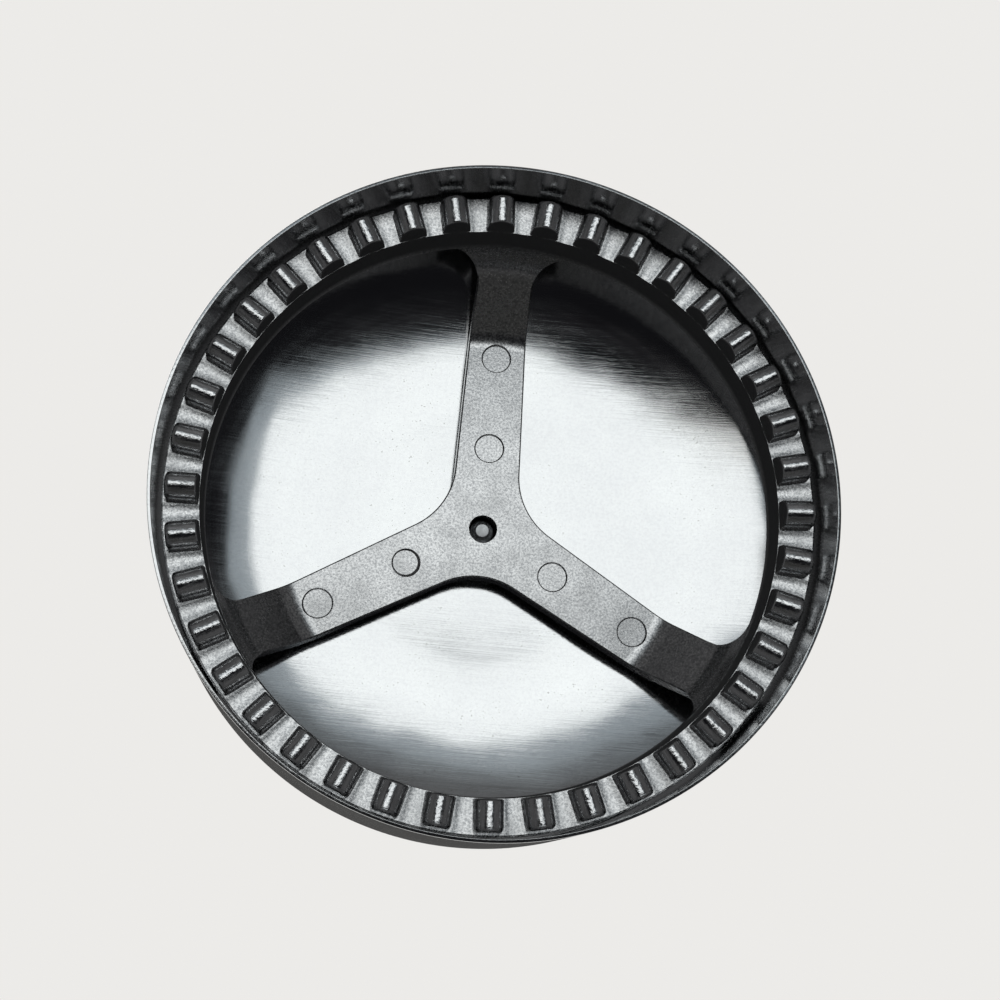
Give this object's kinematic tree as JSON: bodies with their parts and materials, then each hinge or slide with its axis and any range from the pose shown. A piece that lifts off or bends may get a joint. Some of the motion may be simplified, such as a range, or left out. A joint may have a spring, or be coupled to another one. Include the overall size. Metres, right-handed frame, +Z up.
{
  "type": "round pastry sealer",
  "caption": "Round cutter shell with a sprung plunger inside: a knob on top presses a toothed crimping ring down on spokes to seal the edge of the dough that the rim cuts.",
  "frame": {"origin": "centre of the circle of the cutting edge, on the plane that the edge stands on", "axes": "+Z up along the plunger's axis, towards the knob; -Y along the first spoke of the crimping spider"},
  "size_m": [0.09, 0.09, 0.0814],
  "materials": {
    "polished_shell": "polished, with fine scratches",
    "casting": "as cast, slightly grainy",
    "steel": "bright zinc",
    "brass": "turned",
    "knob_plastic": "moulded, glossy"
  },
  "bodies": {
    "shell": {"cutter_shell": "polished_shell", "guide_bush": "brass", "bush_retainer": "steel", "return_spring": "steel"},
    "cup": {"spring_cup": "steel"},
    "plunger": {"crimping_spider": "casting", "hub_lock_washer": "steel", "stem_sleeve": "steel", "knob_base_washer": "steel", "knob": "knob_plastic", "knob_insert": "brass", "stem_stud": "steel"}
  },
  "joints": [
    {"name": "plunge", "type": "slide", "parent": "shell", "child": "cup", "axis": [0, 0, -1], "range_m": [0, 0.0052], "stiffness_N_per_m": 800, "springref_m": -0.0075, "deforming": ["return_spring"]},
    {"name": "spin", "type": "hinge", "parent": "cup", "child": "plunger", "pos_m": [0, 0, 0.05], "axis": [0, 0, 1], "continuous": true}
  ]
}
